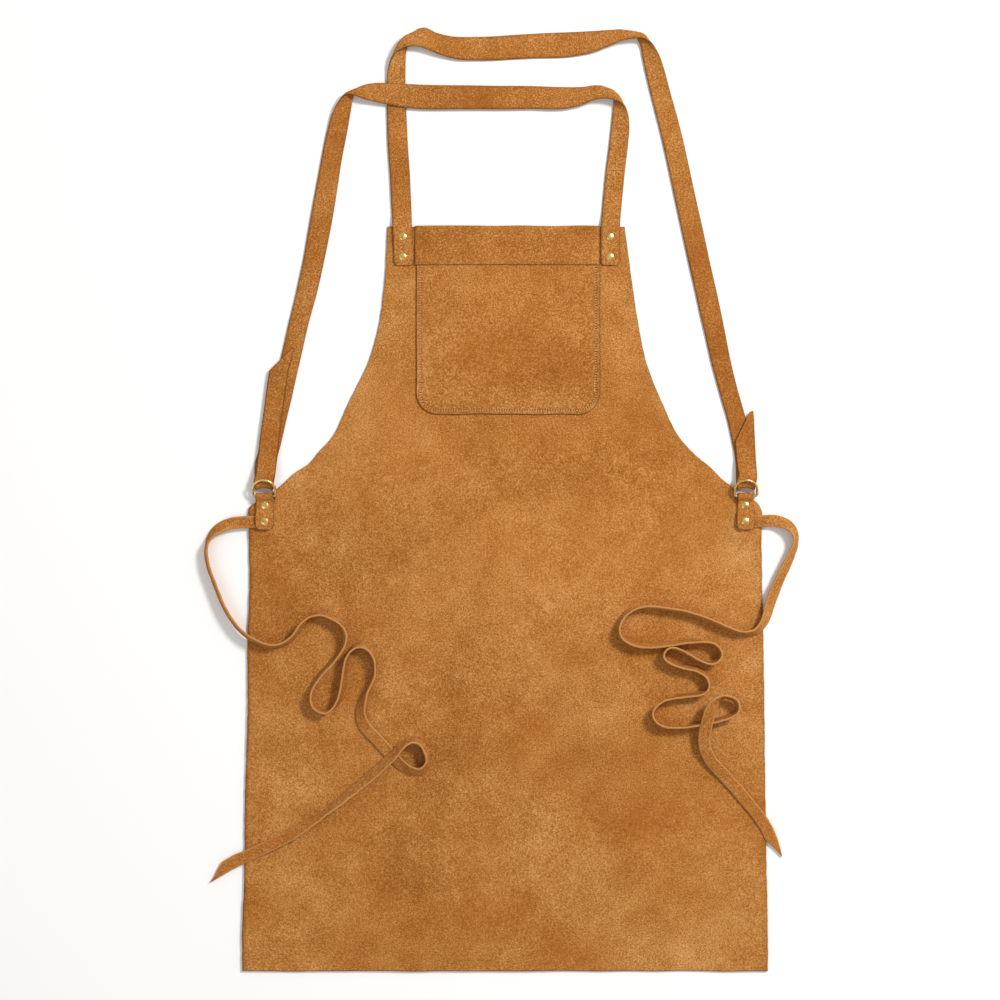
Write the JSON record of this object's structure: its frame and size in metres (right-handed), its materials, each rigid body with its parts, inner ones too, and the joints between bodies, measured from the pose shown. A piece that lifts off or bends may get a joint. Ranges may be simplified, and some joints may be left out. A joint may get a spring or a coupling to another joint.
{
  "type": "welding apron",
  "caption": "Suede leather bib apron with a sewn chest pocket, crossed shoulder straps cinched through brass D-rings at the waist, and two waist ties.",
  "frame": {"origin": "on the surface the apron lies on, under the middle of the apron and its shoulder straps", "axes": "+Y from the hem to the bib, +X to the viewer's right as the front is seen, +Z out of the front"},
  "size_m": [0.6764, 1.0796, 0.0207],
  "materials": {
    "body_suede": "napped suede, tan brown",
    "pocket_suede": "napped suede, tan brown",
    "strap_suede": "napped suede, tan brown",
    "tie_suede": "napped suede, tan brown",
    "thread": "matt twisted thread",
    "brass": "polished"
  },
  "bodies": {
    "root": {"apron_body": "body_suede", "bib_facing": "body_suede", "bib_pocket": "pocket_suede", "shoulder_strap_from_left_bib": "strap_suede", "shoulder_strap_from_right_bib": "strap_suede", "pocket_seam_thread": "thread", "left_ring_tab": "strap_suede", "left_waist_tie": "tie_suede", "right_ring_tab": "strap_suede", "right_waist_tie": "tie_suede", "bib_left_upper_rivet_front_cap": "brass", "bib_left_upper_rivet_back_cap": "brass", "bib_left_lower_rivet_front_cap": "brass", "bib_left_lower_rivet_back_cap": "brass", "bib_right_upper_rivet_front_cap": "brass", "bib_right_upper_rivet_back_cap": "brass", "bib_right_lower_rivet_front_cap": "brass", "bib_right_lower_rivet_back_cap": "brass", "waist_left_upper_rivet_front_cap": "brass", "waist_left_upper_rivet_back_cap": "brass", "waist_left_lower_rivet_front_cap": "brass", "waist_left_lower_rivet_back_cap": "brass", "waist_right_upper_rivet_front_cap": "brass", "waist_right_upper_rivet_back_cap": "brass", "waist_right_lower_rivet_front_cap": "brass", "waist_right_lower_rivet_back_cap": "brass"},
    "left_rings": {"left_lower_d_ring": "brass", "left_upper_d_ring": "brass", "left_strap_end": "strap_suede"},
    "right_rings": {"right_lower_d_ring": "brass", "right_upper_d_ring": "brass", "right_strap_end": "strap_suede"}
  },
  "joints": [
    {"name": "left_ring_swing", "type": "hinge", "parent": "root", "child": "left_rings", "pos_m": [-0.2753, 0.0036, 0.0036], "axis": [1, 0, 0], "range_deg": [0, 75]},
    {"name": "right_ring_swing", "type": "hinge", "parent": "root", "child": "right_rings", "pos_m": [0.2753, 0.0036, 0.0036], "axis": [1, 0, 0], "range_deg": [0, 75]}
  ]
}
